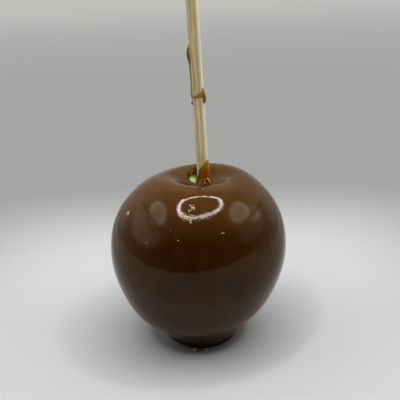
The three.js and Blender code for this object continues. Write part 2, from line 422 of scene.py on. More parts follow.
def stick():
    bm = bmesh.new()
    bmesh.ops.create_cube(bm, size=1)
    bmesh.ops.scale(bm, vec=(STICK_WIDTH, STICK_WIDTH, STICK_LENGTH), verts=bm.verts)
    upright = upright_edges(bm)
    across = [e for e in bm.edges if e not in upright]
    bmesh.ops.subdivide_edges(bm, edges=across, cuts=STICK_SIDE_CUTS, use_grid_fill=True)
    upright = upright_edges(bm)
    bmesh.ops.subdivide_edges(bm, edges=upright, cuts=STICK_LENGTH_CUTS, use_grid_fill=True)
    middle = STICK_TOP - STICK_FOOT.z - STICK_LENGTH / 2
    for vert in bm.verts:
        x, y, z = vert.co
        place = rounded(x, y)
        if max(abs(x), abs(y)) > HALF_STICK - 1e-4:
            level = GROOVE_LEVEL
            for fine_across, fine_along, start, depth in GROOVES:
                fine = Vector((x * fine_across, y * fine_across, z * fine_along))
                level += depth * noise.noise(fine + Vector(start))
            place *= 1 + level / HALF_STICK
        else:
            rough = noise.noise(Vector((x * SAW_FINENESS, y * SAW_FINENESS, 3.7)))
            z += math.copysign(SAW_DEPTH * rough, z)
        vert.co = Vector((place.x, place.y, z + middle))
    bmesh.ops.transform(bm, matrix=STICK_FRAME, verts=bm.verts)
    finish_piece("wooden_stick", bm, pale_wood, ("stick",), levels=1)


def strand(bm, path, radii, segments=12, flat=1.0):
    """A closed strand of set caramel along a path of points, round where flat is 1."""
    rings = []
    for i, (point, radius) in enumerate(zip(path, radii)):
        along = (path[min(i + 1, len(path) - 1)] - path[max(i - 1, 0)]).normalized()
        turn = along.to_track_quat("Z", "Y").to_matrix().to_4x4()
        shape = Matrix.Translation(point) @ turn @ Matrix.Diagonal((radius, radius * flat, radius, 1))
        circle = bmesh.ops.create_circle(bm, segments=segments, radius=1, matrix=shape)
        rings.append(circle["verts"])
    for pair in zip(rings, rings[1:]):
        edges = [e for ring in pair for v in ring for e in v.link_edges if all(w in ring for w in e.verts)]
        bmesh.ops.bridge_loops(bm, edges=list(dict.fromkeys(edges)))
    for ring in (rings[0], rings[-1]):
        bmesh.ops.contextual_create(bm, geom=ring)


def thin_strand(bm, path, end_radius, radius):
    """A thin strand of one radius, with ends of another."""
    between = [radius] * (len(path) - 2)
    strand(bm, path, [end_radius, *between, end_radius], segments=8)


def finish_strands(name, bm, material, replaced=(), levels=2):
    bmesh.ops.recalc_face_normals(bm, faces=bm.faces)
    finish_piece(name, bm, material, replaced, levels)


# Drips that set on the stick. Each point of a strand is (right, back, up, radius), from the
# front left or the front right edge of the stick.
LONG_DRIP = (
    (0.15, 0.35, 35.7, 0.25), (0.05, 0.35, 36.6, 0.5), (0.1, 0.35, 39.5, 0.46),
    (0.2, 0.35, 42.5, 0.4), (0.22, 0.35, 46.0, 0.4), (0.2, 0.35, 49.5, 0.5),
    (0.1, 0.3, 52.0, 0.74), (-0.05, 0.25, 54.0, 1.0), (-0.08, 0.25, 55.4, 0.98),
    (0.05, 0.3, 57.0, 0.62), (0.25, 0.4, 58.8, 0.2),
)
SMALL_DROP = (
    (0.1, 0.35, 33.0, 0.2), (0.0, 0.3, 33.5, 0.36), (0.0, 0.3, 34.4, 0.36), (0.15, 0.4, 35.3, 0.18),
)
SIDE_BLOB = (
    (0.3, 0.9, 33.3, 0.2), (0.5, 0.7, 34.1, 0.6), (0.55, 0.6, 35.4, 0.85),
    (0.4, 0.55, 36.8, 1.0), (0.1, 0.6, 38.2, 0.75), (-0.05, 0.7, 40.5, 0.2),
)
SIDE_BAND = (
    (0.1, 0.02, 36.6, 0.2), (1.0, 0.0, 36.5, 0.34), (2.0, 0.02, 36.5, 0.36),
    (2.9, -0.02, 36.8, 0.48), (3.8, -0.06, 37.5, 0.6), (4.8, 0.1, 37.9, 0.75),
)
LEFT_EDGE = Vector((-HALF_STICK, -HALF_STICK, 0))
RIGHT_EDGE = Vector((HALF_STICK, -HALF_STICK, 0))


def drip(bm, edge, points, flat=1.0):
    """A strand on the stick, from points along one of its edges."""
    path = [STICK_FRAME @ (edge + Vector(place)) for *place, _ in points]
    strand(bm, path, [point[-1] for point in points], flat=flat)


def drips():
    bm = bmesh.new()
    drip(bm, LEFT_EDGE, LONG_DRIP)
    finish_strands("long_drip", bm, dark_drip, ("stick_drip_long",))
    bm = bmesh.new()
    drip(bm, LEFT_EDGE, SMALL_DROP)
    finish_strands("small_drop", bm, grey_drop, ("stick_drop_small",))
    bm = bmesh.new()
    drip(bm, RIGHT_EDGE, SIDE_BLOB)
    drip(bm, LEFT_EDGE, SIDE_BAND, flat=2.0)
    finish_strands("side_drip", bm, amber_drip, ("stick_drip_side",))


# Caramel drawn up the stick: thick and dark where it leaves the dimple, thin and amber where
# it ends. Each row is (out from the stick, up, share of the film's height).
COLLAR_ROWS = (
    (4.6, -6.6, 0), (3.2, -5.4, 0), (2.2, -4.4, 0), (1.5, -3.2, 0), (1.0, -1.8, 0), (0.7, -0.6, 0.1),
    (0.55, 0, 0.3), (0.46, 0, 0.5), (0.4, 0, 0.7), (0.34, 0, 0.87), (0.24, 0, 0.97), (-0.1, 0, 1.0),
    (-0.5, 0, 0.96), (-0.7, 0, 0.6), (-0.8, -2, 0.1), (-0.8, -6, 0), (1.6, -7.4, 0),
)
COLLAR_SEGMENTS = 40
# In front the film climbs towards the right, and falls off at the left corner of the stick. The
# front reaches round the stick to where the sine of the angle is this.
FRONT_TO = 0.3
FILM_FRONT = 5.9
FILM_RISE = 2.7
FILM_FALL = 8.0
FILM_FALL_FROM = 0.45
FILM_LOWEST = 0.8
FILM_HIGHEST = 8.5
# Behind it climbs least in the middle and most at the right.
FILM_BEHIND = 1.0
FILM_BEHIND_RISE = 6.0
# Where the coat stands off the stick there is no film: the middle of that stretch, half its
# width, and how soon the film is whole beside it, in degrees.
NO_FILM_MIDDLE = 143
NO_FILM_HALF = 44
NO_FILM_FADE = 28
# The film is sunk this deep into the stick where it is missing.
COLLAR_SUNK = 0.35
# Outside it wobbles: how much, and how fast round the stick and up it.
COLLAR_WOBBLE = 0.16
WOBBLE_ROUND = 1.7
WOBBLE_UP = 0.3
# More of it ran down the right side.
COLLAR_RIGHT = 0.7
# The flare at the foot is round: how far out it is fully so, and how wide the round is.
FLARE_OUT = 4.0
FLARE_WIDTH = 1.12
# It counts as thin above this share of its height, and wherever it is further in than this.
THIN_SHARE = 0.8
THIN_WITHIN = -0.2


def collar_top(angle):
    """How high the film of caramel climbs at an angle round the stick."""
    right = math.cos(angle)
    if math.sin(angle) >= FRONT_TO:
        return FILM_BEHIND + FILM_BEHIND_RISE * clamp(right) ** 2
    across = right / max(abs(right), abs(math.sin(angle)))
    fall = FILM_FALL * clamp(-FILM_FALL_FROM - across)
    return clamp(FILM_FRONT + FILM_RISE * across - fall, FILM_LOWEST, FILM_HIGHEST)


def collar_share(angle):
    """One where the film is whole, and nothing where the coat stands off the stick."""
    apart = abs((angle - math.radians(NO_FILM_MIDDLE) + math.pi) % (2 * math.pi) - math.pi)
    return clamp((math.degrees(apart) - NO_FILM_HALF) / NO_FILM_FADE)


def collar():
    profile = [(5 + i, i) for i in range(len(COLLAR_ROWS))]
    bm, row = turned_rows(profile, COLLAR_SEGMENTS, closed=True)
    thin = bm.verts.layers.float.new("thin")
    for vert in bm.verts:
        out, up, share = COLLAR_ROWS[vert[row]]
        vert[thin] = clamp((share - THIN_SHARE) / (1 - THIN_SHARE)) if out > THIN_WITHIN else 1.0
        angle = math.atan2(vert.co.y, vert.co.x)
        flat = around(angle)
        whole = collar_share(angle)
        roundness = clamp(out / FLARE_OUT)
        reach = square_reach(angle, HALF_STICK) * (1 - roundness) + HALF_STICK * FLARE_WIDTH * roundness
        where = Vector((flat.x * WOBBLE_ROUND, flat.y * WOBBLE_ROUND, up * WOBBLE_UP))
        wobble = 1 + COLLAR_WOBBLE * noise.noise(where)
        wobble *= 1 + COLLAR_RIGHT * clamp(flat.x) ** 3
        reach += out * wobble * whole - COLLAR_SUNK * (1 - whole) if out > 0 else out
        vert.co = Vector((reach * flat.x, reach * flat.y, up + share * collar_top(angle)))
    bmesh.ops.transform(bm, matrix=STICK_FRAME, verts=bm.verts)
    bmesh.ops.recalc_face_normals(bm, faces=bm.faces)
    finish_piece("collar", bm, film_caramel, levels=2)


# Bubbles that set round the front and the right of the stick's foot: how many, between which
# angles, how far out, and between which radii.
BUBBLES = (
    (30, (-118, -30), 0.85, (0.26, 0.55)),
    (9, (-40, 15), 2.2, (0.2, 0.34)),
)
BUBBLE_LOWEST = -3.4
# Lower bubbles sit further out, since the collar flares there: from where, and how fast.
BUBBLE_FLARE_TOP = 0.2
BUBBLE_FLARE = 0.36
BUBBLE_SCATTER = 0.15


def bubbles():
    draw = random.Random(11)
    bm = bmesh.new()
    for count, angles, gap, radii in BUBBLES:
        for _ in range(count):
            angle = math.radians(draw.uniform(*angles))
            up = draw.uniform(BUBBLE_LOWEST, 0.0)
            flare = BUBBLE_FLARE * (BUBBLE_FLARE_TOP - up)
            out = gap + flare + draw.uniform(-BUBBLE_SCATTER, BUBBLE_SCATTER)
            radius = draw.uniform(*radii)
            reach = square_reach(angle, HALF_STICK) + out
            place = Matrix.Translation((*(reach * around(angle)), up))
            bmesh.ops.create_icosphere(bm, subdivisions=2, radius=radius, matrix=STICK_FRAME @ place)
    finish_piece("caramel_bubbles", bm, bubble_caramel_painted_light)


# Pale strands that are painted glints on the rims of bubbles and on a ridge, as paths (across, deep, up) in
# the stick's frame.
GLINT_PATHS = (
    ((-0.5, -3.75, -0.2), (-0.3, -3.85, -0.55)),
    ((-0.45, -3.75, -1.25), (-0.15, -3.85, -1.55)),
    ((-0.4, -4.0, -2.0), (-0.05, -4.15, -2.3), (-0.3, -4.2, -2.6)),
    ((1.2, -3.65, 0.05), (1.5, -3.75, -0.3)),
    ((1.35, -4.1, -0.8), (1.4, -4.2, -1.4), (1.15, -4.25, -2.2)),
    ((2.15, -3.45, 0.65), (2.6, -3.5, -0.05), (3.05, -3.55, -0.75), (3.5, -3.65, -1.4), (3.85, -3.7, -1.95)),
    ((0.5, -3.9, -1.9), (0.7, -4.0, -2.2)),
    ((2.1, -3.9, -1.9), (2.35, -3.95, -2.2)),
)
GLINT_END = 0.22
GLINT_RADIUS = 0.3
# Two drops at the front of the foot, pale as painted glints: (x, y, radius).
FOOT_BEADS = ((-3.2, -19.2, 0.85), (1.7, -19.3, 0.75))


# Strands and beads made pale as painted glints.
def glint_strands_and_beads():
    bm = bmesh.new()
    for path in GLINT_PATHS:
        thin_strand(bm, [STICK_FRAME @ Vector(point) for point in path], GLINT_END, GLINT_RADIUS)
    for x, y, radius in FOOT_BEADS:
        place = Matrix.Translation((x, y, radius))
        bmesh.ops.create_icosphere(bm, subdivisions=2, radius=radius, matrix=place)
    finish_strands("painted_glint_strands", bm, painted_glints_pale, levels=1)


# Folds that the caramel set in, low at the front, paler than the coat as painted highlights, as paths (x, y,
# z).
FOLDS = (
    (
        (-7.2, -28.8, 15.1), (-5.65, -30.1, 16.42), (-4.3, -30.6, 16.87),
        (-2.54, -30.25, 16.33), (-0.78, -29.4, 15.4),
    ),
    ((0.33, -29.2, 15.2), (1.46, -29.8, 15.95), (2.81, -30.05, 16.43), (4.9, -29.7, 16.4)),
)
FOLD_END = 0.1
FOLD_RADIUS = 0.42


def folds():
    bm = bmesh.new()
    for path in FOLDS:
        thin_strand(bm, [Vector(point) for point in path], FOLD_END, FOLD_RADIUS)
    finish_strands("low_folds", bm, fold_caramel_painted_highlight)


# Pale sugar flakes set in the coat: azimuth and elevation from the middle of the ball, how
# big, and how many stand together.
FLAKES = (
    # At the left, and the cluster with its tail in the light of the ring.
    (-156, 41, 1.7, 3),
    (-93, 54.4, 1.3, 2), (-93.8, 53.0, 1.3, 2), (-94.6, 51.8, 1.1, 2), (-97, 51.2, 0.9, 2),
    (-95, 46.4, 1.2, 3), (-95, 45.0, 1.1, 1),
    # Single specks.
    (-73.4, 37.7, 1.2, 2), (-103, 35, 0.8, 1), (-105, 37, 0.35, 1), (-125, 31, 0.5, 2),
    (-81, 65.8, 1.0, 1), (-77, 67, 0.35, 1), (-77, 64, 0.35, 1), (-109, 40, 0.35, 1),
    (-51, 37, 0.35, 1), (-12, 52, 0.35, 1), (-5, 72, 0.3, 1),
    # Low at the front.
    (-103, -62, 0.4, 2), (-92, -62.4, 0.4, 3), (-80, -62, 0.4, 2),
)
# How far flakes that stand together are apart, and how long a flake is, for their size. How wide
# and how thick it is, for its length.
FLAKE_SPREAD = 0.9
FLAKE_LENGTHS = (0.35, 0.6)
FLAKE_WIDTHS = (0.45, 0.8)
FLAKE_THICKNESS = 0.3
# Its edges are rough: how much, how fine, and how far its neighbour's noise is from its own.
FLAKE_ROUGHNESS = 0.35
FLAKE_FINENESS = 1.9
FLAKE_STEP = 3.1
# The place of a flake is found from well outside the coat.
FAR_OUT = 100


def flakes(coat_piece):
    draw = random.Random(5)
    surface = coat_piece.evaluated_get(bpy.context.evaluated_depsgraph_get())
    middle = Vector((0, 0, BALL_MIDDLE))
    bm = bmesh.new()
    for azimuth, elevation, size, count in FLAKES:
        ray = direction(azimuth, elevation)
        for number in range(count):
            spread = FLAKE_SPREAD * size if number else 0
            start = middle + Vector([draw.uniform(-spread, spread) for _ in range(3)])
            found, hit, normal, _ = surface.ray_cast((start + FAR_OUT * ray) * MM, -ray)
            if not found:
                continue
            grain = size * draw.uniform(*FLAKE_LENGTHS)
            turn = Matrix.Rotation(draw.uniform(0, 6.28), 4, "Z")
            width = grain * draw.uniform(*FLAKE_WIDTHS)
            shape = Matrix.Diagonal((grain, width, grain * FLAKE_THICKNESS, 1))
            stand = Matrix.Translation(hit / MM) @ normal.to_track_quat("Z", "Y").to_matrix().to_4x4()
            made = bmesh.ops.create_icosphere(bm, subdivisions=2, radius=1)["verts"]
            for vert in made:
                fine = vert.co * FLAKE_FINENESS + Vector((number * FLAKE_STEP, azimuth, elevation))
                vert.co *= 1 + FLAKE_ROUGHNESS * noise.noise(fine)
            bmesh.ops.transform(bm, matrix=stand @ turn @ shape, verts=made)
    finish_piece("sugar_flakes", bm, sugar)


# ---------------------------------------------------------------- finishes

class Nodes:
    """A tree of shader nodes, with short ways to add to it."""

    def __init__(self, owner):
        owner.use_nodes = True
        self.tree = owner.node_tree
        self.tree.nodes.clear()

    def node(self, kind, **settings):
        made = self.tree.nodes.new(kind)
        for name, value in settings.items():
            setattr(made, name, value)
        return made

    def put(self, value, socket):
        """Feeds a socket from another one, or with a plain number or colour."""
        if isinstance(value, bpy.types.NodeSocket):
            self.tree.links.new(value, socket)
        else:
            socket.default_value = value

    def maths(self, operation, first, second=0.0):
        made = self.node("ShaderNodeMath", operation=operation)
        self.put(first, made.inputs[0])
        self.put(second, made.inputs[1])
        return made.outputs[0]

    def span(self, value, low, high, to_low=0.0, to_high=1.0):
        """A smooth step from one number to another as a value passes a span."""
        made = self.node("ShaderNodeMapRange", interpolation_type="SMOOTHSTEP")
        for name, number in (("From Min", low), ("From Max", high), ("To Min", to_low), ("To Max", to_high)):
            made.inputs[name].default_value = number
        self.put(value, made.inputs["Value"])
        return made.outputs["Result"]

    def split(self, vector):
        """The three numbers of a vector, X, Y and Z."""
        made = self.node("ShaderNodeSeparateXYZ")
        self.put(vector, made.inputs["Vector"])
        return made.outputs

    def with_vector(self, operation, vector, fixed):
        """The number that a vector gives with a fixed one."""
        made = self.node("ShaderNodeVectorMath", operation=operation)
        self.put(vector, made.inputs[0])
        self.put(fixed, made.inputs[1])
        return made.outputs["Value"]


class Finish(Nodes):
    """A material, whose sizes are in millimetres."""

    def __init__(self, name, roughness, ior=1.45, specular=0.5):
        self.material = bpy.data.materials.new(name)
        super().__init__(self.material)
        output = self.node("ShaderNodeOutputMaterial")
        self.shader = self.node("ShaderNodeBsdfPrincipled")
        self.put(self.shader.outputs["BSDF"], output.inputs["Surface"])
        self.put(roughness, self.shader.inputs["Roughness"])
        self.put(ior, self.shader.inputs["IOR"])
        self.put(specular, self.shader.inputs["Specular IOR Level"])
        self.place = self.node("ShaderNodeTexCoord").outputs["Object"]

    def colour(self, output):
        self.put(output, self.shader.inputs["Base Color"])

    def roughness(self, output):
        self.put(output, self.shader.inputs["Roughness"])

    def on_stick(self, scale=(1, 1, 1)):
        """The place in the stick's frame, then stretched."""
        moved = self.node("ShaderNodeMapping", vector_type="TEXTURE")
        self.put(STICK_FOOT * MM, moved.inputs["Location"])
        self.put(STICK_FRAME.to_euler(), moved.inputs["Rotation"])
        self.put(self.place, moved.inputs["Vector"])
        stretch = self.node("ShaderNodeMapping", vector_type="POINT")
        self.put(scale, stretch.inputs["Scale"])
        self.put(moved.outputs["Vector"], stretch.inputs["Vector"])
        return stretch.outputs["Vector"]

    def noise(self, size, detail=3.0, rough=0.5, where=None):
        """Noise whose features are about this big."""
        made = self.node("ShaderNodeTexNoise")
        self.put(1 / (size * MM), made.inputs["Scale"])
        self.put(detail, made.inputs["Detail"])
        self.put(rough, made.inputs["Roughness"])
        self.put(where or self.place, made.inputs["Vector"])
        return made.outputs["Fac"]

    def ramp(self, factor, stops, interpolation="EASE"):
        """Colours along a factor, from stops of a position and a colour."""
        made = self.node("ShaderNodeValToRGB")
        made.color_ramp.interpolation = interpolation
        elements = made.color_ramp.elements
        while len(elements) < len(stops):
            elements.new(0.5)
        for element, (position, colour) in zip(elements, stops):
            element.position = position
            element.color = (*colour, 1)
        self.put(factor, made.inputs["Fac"])
        return made.outputs["Color"]

    def reach(self, value, low, high, to_low=0.0, to_high=1.0):
        """A span whose ends are in millimetres."""
        return self.span(value, low * MM, high * MM, to_low, to_high)

    def off(self, place):
        """How far away a place of the part is."""
        return self.with_vector("DISTANCE", self.place, place * MM)

    def mix(self, factor, first, second, blend="MIX"):
        """Mixes two colours; each is a socket or a plain colour."""
        made = self.node("ShaderNodeMix", data_type="RGBA", blend_type=blend)
        self.put(factor, made.inputs[0])
        for socket, value in ((made.inputs[6], first), (made.inputs[7], second)):
            self.put((*value, 1) if isinstance(value, tuple) else value, socket)
        return made.outputs[2]

    def bump(self, heights, depth):
        """Bumps of a depth, from sockets of height, each with its share."""
        total = 0.0
        for socket, share in heights:
            total = self.maths("ADD", self.maths("MULTIPLY", socket, share), total)
        made = self.node("ShaderNodeBump")
        self.put(1.0, made.inputs["Strength"])
        self.put(depth * MM, made.inputs["Distance"])
        self.put(total, made.inputs["Height"])
        self.put(made.outputs["Normal"], self.shader.inputs["Normal"])


# Painted light and shade, and partly the caramel's thickness: the coat is darker low down and lighter
# over the shoulders, lit from above. What its colour is multiplied by, from a low height to a high one.
HEIGHT_LIGHT_LOW = 45
HEIGHT_LIGHT_HIGH = 80
HEIGHT_LIGHT_AND_SHADE = (
    (0.0, (0.80, 0.78, 0.76)), (0.3, (0.86, 0.85, 0.84)), (0.42, (0.88, 0.76, 0.72)),
    (0.56, (0.86, 0.84, 0.82)), (0.8, (1.06, 1.04, 1.00)), (0.97, (1.30, 1.30, 1.28)),
    (1.0, (1.42, 1.44, 1.48)),
)


def caramel_finish():
    finish = Finish("caramel", 0.1)
    dark, light = (0.075, 0.0315, 0.0054), (0.096, 0.043, 0.0076)
    cloudy, grainy = (0.120, 0.058, 0.0115), (0.165, 0.083, 0.019)
    # Colours of painted light, in the dimple and on the gap's far rim.
    dimple_light_paint, rim_light_paint = (0.165, 0.095, 0.030), (0.36, 0.215, 0.06)
    tone = finish.ramp(finish.noise(22, 2), [(0.3, dark), (0.7, light)])
    tone = finish.mix(finish.span(finish.noise(5, 4, 0.6), 0.35, 0.75, 0.0, 0.35), tone, cloudy)
    tone = finish.mix(finish.span(finish.noise(0.5, 2, 0.7), 0.57, 0.70, 0.0, 0.45), tone, grainy)
    height = finish.split(finish.place)["Z"]
    # The coat's colour is multiplied by painted light and shade that lighten with height.
    depth = finish.ramp(finish.reach(height, HEIGHT_LIGHT_LOW, HEIGHT_LIGHT_HIGH), HEIGHT_LIGHT_AND_SHADE, "LINEAR")
    tone = finish.mix(1.0, tone, depth, "MULTIPLY")
    # Painted light: the caramel is lightened in the dimple too, at the right of the stick, against the shade
    # of the hollow.
    tone = finish.mix(finish.reach(finish.off(DIMPLE_PAINTED_LIGHT), 3, 9, 1.0, 0.0), tone, dimple_light_paint)
    # Painted light: the far edge of the gap is lightened against the shade it lies in.
    tone = finish.mix(finish.reach(finish.off(RIM_PAINTED_LIGHT), 1.3, 3.3, 1.0, 0.0), tone, rim_light_paint)
    finish.colour(tone)
    finish.roughness(finish.span(finish.noise(7, 3), 0.3, 0.7, 0.025, 0.06))
    waves, grains, dust = finish.noise(6, 2), finish.noise(0.8, 2, 0.6), finish.noise(0.4, 1)
    finish.bump([(waves, 1.0), (grains, 0.45), (dust, 0.05)], 0.05)
    return finish.material


# The film's colours, from 4 mm below the stick's foot to 8.5 mm above it. The lowest, in the flare
# at the foot, is lightened as painted light against the shade round the stick's foot.
FILM_TONES = (
    (0.16, (0.26, 0.145, 0.055)), (0.38, (0.35, 0.12, 0.010)), (0.6, (0.42, 0.15, 0.008)),
    (0.85, (0.44, 0.19, 0.011)), (1.0, (0.52, 0.27, 0.03)),
)


def film_finish():
    finish = Finish("film_caramel", 0.15, specular=0.4)
    height = finish.split(finish.place)["Z"]
    rise = finish.reach(height, STICK_FOOT.z - 4, STICK_FOOT.z + 8.5)
    uneven = finish.maths("ADD", rise, finish.maths("MULTIPLY", finish.noise(1.6, 3), 0.2))
    tone = finish.ramp(uneven, FILM_TONES)
    # It is thinner and olive at the left corner of the stick, and pale where it ends.
    across = finish.split(finish.on_stick())["X"]
    tone = finish.mix(finish.reach(across, -2.0, 0.4, 0.8, 0.0), tone, (0.19, 0.125, 0.045))
    thin = finish.node("ShaderNodeAttribute", attribute_name="thin").outputs["Fac"]
    finish.colour(finish.mix(finish.span(thin, 0.1, 0.9, 0.0, 0.6), tone, (0.42, 0.29, 0.10)))
    finish.bump([(finish.noise(1.2, 3), 1.0)], 0.06)
    return finish.material


def drip_finish(name, left, right, thread, axis, low, high):
    """Set drips, from a place and colour at the left to one at the right of the stick, with the
    colour of the thread below a place on an axis of the stick's frame."""
    finish = Finish(name, 0.16, specular=0.4)
    where = finish.split(finish.on_stick())
    uneven = finish.maths("ADD", where["X"], finish.maths("MULTIPLY", finish.noise(1.5, 3), 0.8 * MM))
    tone = finish.mix(finish.reach(uneven, left[0] + 0.4, right[0] + 0.4), left[1], right[1])
    finish.colour(finish.mix(finish.reach(where[axis], low, high), thread, tone))
    finish.bump([(finish.noise(0.9, 2), 1.0)], 0.04)
    return finish.material


# In the gap the skin has a painted highlight in one pale patch, and painted shade all round it under the rim
# of the coat: its colours from 1 mm to 6 mm away from the highlight's middle.
SKIN_HIGHLIGHT_AND_SHADE_TONES = (
    (0.04, (0.52, 0.58, 0.38)), (0.17, (0.36, 0.46, 0.18)), (0.32, (0.22, 0.33, 0.05)),
    (0.56, (0.11, 0.16, 0.012)), (0.85, (0.04, 0.045, 0.004)),
)


def skin_finish():
    finish = Finish("green_skin", 0.28, specular=0.15)
    dots = finish.node("ShaderNodeTexVoronoi", feature="F1")
    finish.put(1 / (3.2 * MM), dots.inputs["Scale"])
    finish.put(finish.place, dots.inputs["Vector"])
    skin = finish.ramp(finish.noise(9, 3), [(0.3, (0.16, 0.30, 0.045)), (0.7, (0.30, 0.46, 0.10))])
    spots = finish.span(dots.outputs["Distance"], 0.06, 0.16, 1.0, 0.0)
    skin = finish.mix(finish.maths("MULTIPLY", spots, 0.7), skin, (0.55, 0.62, 0.32))
    # Painted highlight and painted shade on the skin in the gap.
    away = finish.off(SKIN_PAINTED_HIGHLIGHT)
    uneven = finish.maths("ADD", away, finish.maths("MULTIPLY", finish.noise(1.4, 3), 1.6 * MM))
    painted_highlight_and_shade = finish.ramp(finish.reach(uneven, 1, 6), SKIN_HIGHLIGHT_AND_SHADE_TONES)
    finish.colour(finish.mix(finish.reach(away, 7, 12, 1.0, 0.0), skin, painted_highlight_and_shade))
    finish.roughness(finish.span(finish.noise(2, 2), 0.3, 0.7, 0.3, 0.45))
    finish.bump([(finish.noise(1.5, 2), 1.0)], 0.03)
    return finish.material


WOOD_TONES = ((0.36, (0.58, 0.45, 0.27)), (0.5, (0.87, 0.73, 0.47)), (0.64, (0.98, 0.91, 0.70)))


def wood_finish():
    finish = Finish("pale_wood", 0.62, specular=0.3)
    fibres = finish.noise(1.0, 4, 0.6, finish.on_stick((1.3, 1.3, 0.03)))
    broad = finish.noise(1.0, 2, 0.5, finish.on_stick((0.45, 0.45, 0.012)))
    specks = finish.noise(1.0, 2, 0.5, finish.on_stick((2.2, 2.2, 0.25)))
    # The pale colour is a painted highlight on the stick's right side, and the edge colour a painted shade
    # on its left edge.
    olive, pale = (0.74, 0.67, 0.37), (1.0, 0.92, 0.75)
    left_edge_painted_shade, brown = (0.42, 0.36, 0.20), (0.50, 0.35, 0.19)
    tone = finish.ramp(fibres, WOOD_TONES)
    tone = finish.mix(finish.span(broad, 0.38, 0.68, 0.0, 0.5), tone, olive)
    # Painted light and shade: a painted highlight along the right side, and painted olive shade along the
    # left edge, but not at the foot.
    where = finish.split(finish.on_stick())
    tone = finish.mix(finish.reach(where["X"], 1.2, 2.0, 0.0, 0.75), tone, pale)
    left, up = finish.reach(where["X"], -2.35, -1.7, 0.45, 0.0), finish.reach(where["Z"], 3, 14)
    tone = finish.mix(finish.maths("MULTIPLY", left, up), tone, left_edge_painted_shade)
    finish.colour(finish.mix(finish.span(specks, 0.62, 0.75, 0.0, 0.4), tone, brown))
    finish.roughness(finish.span(fibres, 0.2, 0.8, 0.75, 0.5))
    finish.bump([(fibres, 1.0), (specks, 0.3)], 0.12)
    return finish.material


def mottled_finish(name, roughness, size, stops, ior=1.45, specular=0.5, bump=None):
    """A finish of two colours in patches, with bumps of a size and a depth if there are any."""
    finish = Finish(name, roughness, ior, specular)
    finish.colour(finish.ramp(finish.noise(size, 3), stops))
    if bump:
        bump_size, depth = bump
        finish.bump([(finish.noise(bump_size, 2), 1.0)], depth)
    return finish.material


caramel = caramel_finish()
film_caramel = film_finish()
dark_drip = drip_finish(
    "dark_drip", (-3.3, (0.13, 0.07, 0.035)), (-1.9, (0.56, 0.33, 0.12)),
    thread=(0.48, 0.37, 0.15), axis="Z", low=49, high=53,
)
grey_drop = drip_finish(
    "grey_drop", (-3.3, (0.24, 0.18, 0.12)), (-1.9, (0.34, 0.26, 0.17)),
    thread=(0.24, 0.18, 0.12), axis="Z", low=33, high=34,
)
amber_drip = drip_finish(
    "amber_drip", (1.4, (0.58, 0.34, 0.11)), (3.3, (0.34, 0.21, 0.05)),
    thread=(0.46, 0.36, 0.14), axis="X", low=-0.4, high=1.2,
)
green_skin = skin_finish()
pale_wood = wood_finish()
sugar = mottled_finish(
    "sugar", 0.45, 0.7, [(0.35, (0.38, 0.27, 0.15)), (0.65, (0.66, 0.55, 0.38))],
    ior=1.5, bump=(0.4, 0.05),
)
# Painted light: the bubbles are much lighter than the coat's caramel, against the shade among them.
bubble_caramel_painted_light = mottled_finish(
    "bubble_caramel_painted_light", 0.08, 0.8, [(0.35, (0.22, 0.11, 0.04)), (0.7, (0.50, 0.31, 0.15))],
    specular=0.6,
)
# Pale as painted glints, for the strands and the beads at the foot.
painted_glints_pale = mottled_finish(
    "painted_glints_pale", 0.3, 0.5, [(0.3, (0.62, 0.43, 0.28)), (0.7, (0.90, 0.72, 0.55))],
    bump=(0.3, 0.03),
)
# Paler than the coat: painted highlights on the folds.
fold_caramel_painted_highlight = mottled_finish(
    "fold_caramel_painted_highlight", 0.2, 0.9, [(0.35, (0.24, 0.16, 0.075)), (0.7, (0.44, 0.32, 0.17))],
)


# ---------------------------------------------------------------- studio

# The corners of the floor in metres, in two sheets. The front one is seen, but it is neither
# mirrored nor lights the part, so the coat shows the slanting edge between them, which lies
# behind the camera.
FLOOR = (
    ("pale_floor", ((-4.0, 2.08), (4.0, -2.88), (4.0, 4.0), (-4.0, 4.0))),
    ("pale_floor_front", ((-4.0, -4.0), (4.0, -4.0), (4.0, -2.88), (-4.0, 2.08))),
)
# The floor's own pale colour, then painted shade that stands for the backdrop's shade: a darker band, and a
# lighter one far off.
FLOOR_NEAR = (0.565, 0.578, 0.595)
FLOOR_PAINTED_SHADE = (0.337, 0.345, 0.347)
FLOOR_FAR_SHADE = (0.434, 0.444, 0.444)
# All distances on the floor are in metres. It is pale to the first distance and darkened with painted shade
# at the second, on a ramp of this length, and it takes the tone of the far floor, a lighter painted shade,
# over the last span.
FLOOR_PALE_TO = 0.08
FLOOR_SHADE_AT = 0.215
FLOOR_RAMP = 0.5
FLOOR_FAR_SHADE_SPAN = (0.6, 2.5)
# It stays nearly as pale, with little of the painted shade, in front of what the camera sees, and beside the
# part: how nearly, the span of the front, how steeply the sides slope away, their span, and how far out they
# end.
FLOOR_PALENESS = 0.85
FRONT_SPAN = (-0.17, -0.08)
SIDE_SLOPE = 2.8
SIDE_SPAN = (-0.45, -0.3)
SIDE_END = (0.3, 0.8)


